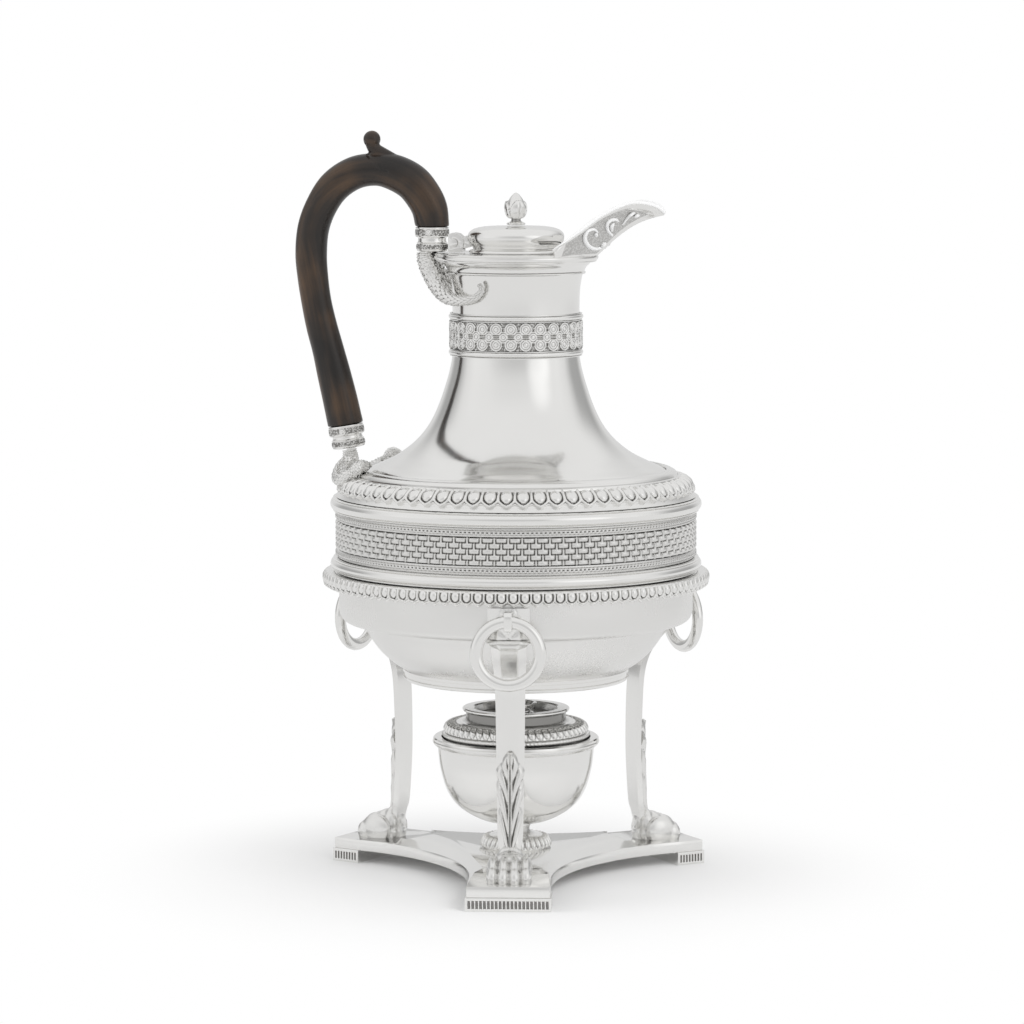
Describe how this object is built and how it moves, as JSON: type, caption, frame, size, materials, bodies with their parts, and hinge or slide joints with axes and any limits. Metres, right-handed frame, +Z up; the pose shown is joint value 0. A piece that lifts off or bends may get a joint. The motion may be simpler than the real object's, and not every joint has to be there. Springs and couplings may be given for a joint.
{
  "type": "coffee jug on lamp stand",
  "caption": "Classical silver coffee jug with a hinged lid, open spout and dark wood handle, seated in a tripod stand with paw feet and a spirit lamp below.",
  "frame": {"origin": "centre of the footprint of the whole part, on the surface it stands on", "axes": "+Z up, +X from the wood handle towards the spout, +Y to the far side when the spout is on the right"},
  "size_m": [0.1738, 0.1636, 0.3094],
  "materials": {
    "silver": "polished silver",
    "dark_wood": "dark stained, soft sheen",
    "cotton": "woven cotton"
  },
  "bodies": {
    "stand": {"base_plate": "silver", "stand_bowl": "silver", "stand_rim": "silver", "stand_collar": "silver", "foot_1": "silver", "paw_1": "silver", "leg_1": "silver", "leaf_1": "silver", "ring_clip_1": "silver", "foot_2": "silver", "paw_2": "silver", "leg_2": "silver", "leaf_2": "silver", "ring_clip_2": "silver", "foot_3": "silver", "paw_3": "silver", "leg_3": "silver", "leaf_3": "silver", "ring_clip_3": "silver"},
    "front_ring": {"ring_1": "silver"},
    "right_ring": {"ring_2": "silver"},
    "left_ring": {"ring_3": "silver"},
    "jug": {"jug_body": "silver", "jug_drum": "silver", "shoulder_gadroon": "silver", "drum_upper_moulding": "silver", "basket_frieze": "silver", "drum_lower_moulding": "silver", "neck_band": "silver", "mouth_rim": "silver", "spout": "silver", "wood_handle": "dark_wood", "upper_socket": "silver", "lower_socket": "silver", "upper_socket_pin": "silver", "lower_socket_pin": "silver", "tail_near": "silver", "tail_far": "silver", "serpent_near": "silver", "serpent_far": "silver", "hinge_bracket": "silver", "hinge_pin": "silver"},
    "jug_lid": {"lid": "silver", "lid_arm": "silver", "finial": "silver", "finial_nut": "silver"},
    "lamp": {"lamp_stem": "silver", "lamp_bowl": "silver"},
    "lamp_top": {"lamp_cover": "silver", "wick_holder": "silver", "wick": "cotton"}
  },
  "joints": [
    {"name": "jug_lift", "type": "slide", "parent": "stand", "child": "jug", "axis": [0, 0, 1], "range_m": [0, 0.04]},
    {"name": "lid_hinge", "type": "hinge", "parent": "jug", "child": "jug_lid", "pos_m": [-0.01908, 0.0015, 0.2634], "axis": [0, -1, 0], "range_deg": [0, 65]},
    {"name": "lamp_slide", "type": "slide", "parent": "stand", "child": "lamp", "axis": [0.9247, -0.3605, 0.1219], "range_m": [0, 0.125]},
    {"name": "lamp_top_lift", "type": "slide", "parent": "lamp", "child": "lamp_top", "axis": [0, 0, 1], "range_m": [0, 0.034]},
    {"name": "front_ring_swing", "type": "hinge", "parent": "stand", "child": "front_ring", "pos_m": [0.01863, -0.07758, 0.1166], "axis": [-0.9885, -0.1513, 0], "range_deg": [0, 120]},
    {"name": "right_ring_swing", "type": "hinge", "parent": "stand", "child": "right_ring", "pos_m": [0.06896, 0.05151, 0.1166], "axis": [0.6252, -0.7804, 0], "range_deg": [0, 120]},
    {"name": "left_ring_swing", "type": "hinge", "parent": "stand", "child": "left_ring", "pos_m": [-0.06801, 0.03055, 0.1166], "axis": [0.3633, 0.9317, 0], "range_deg": [0, 120]}
  ]
}
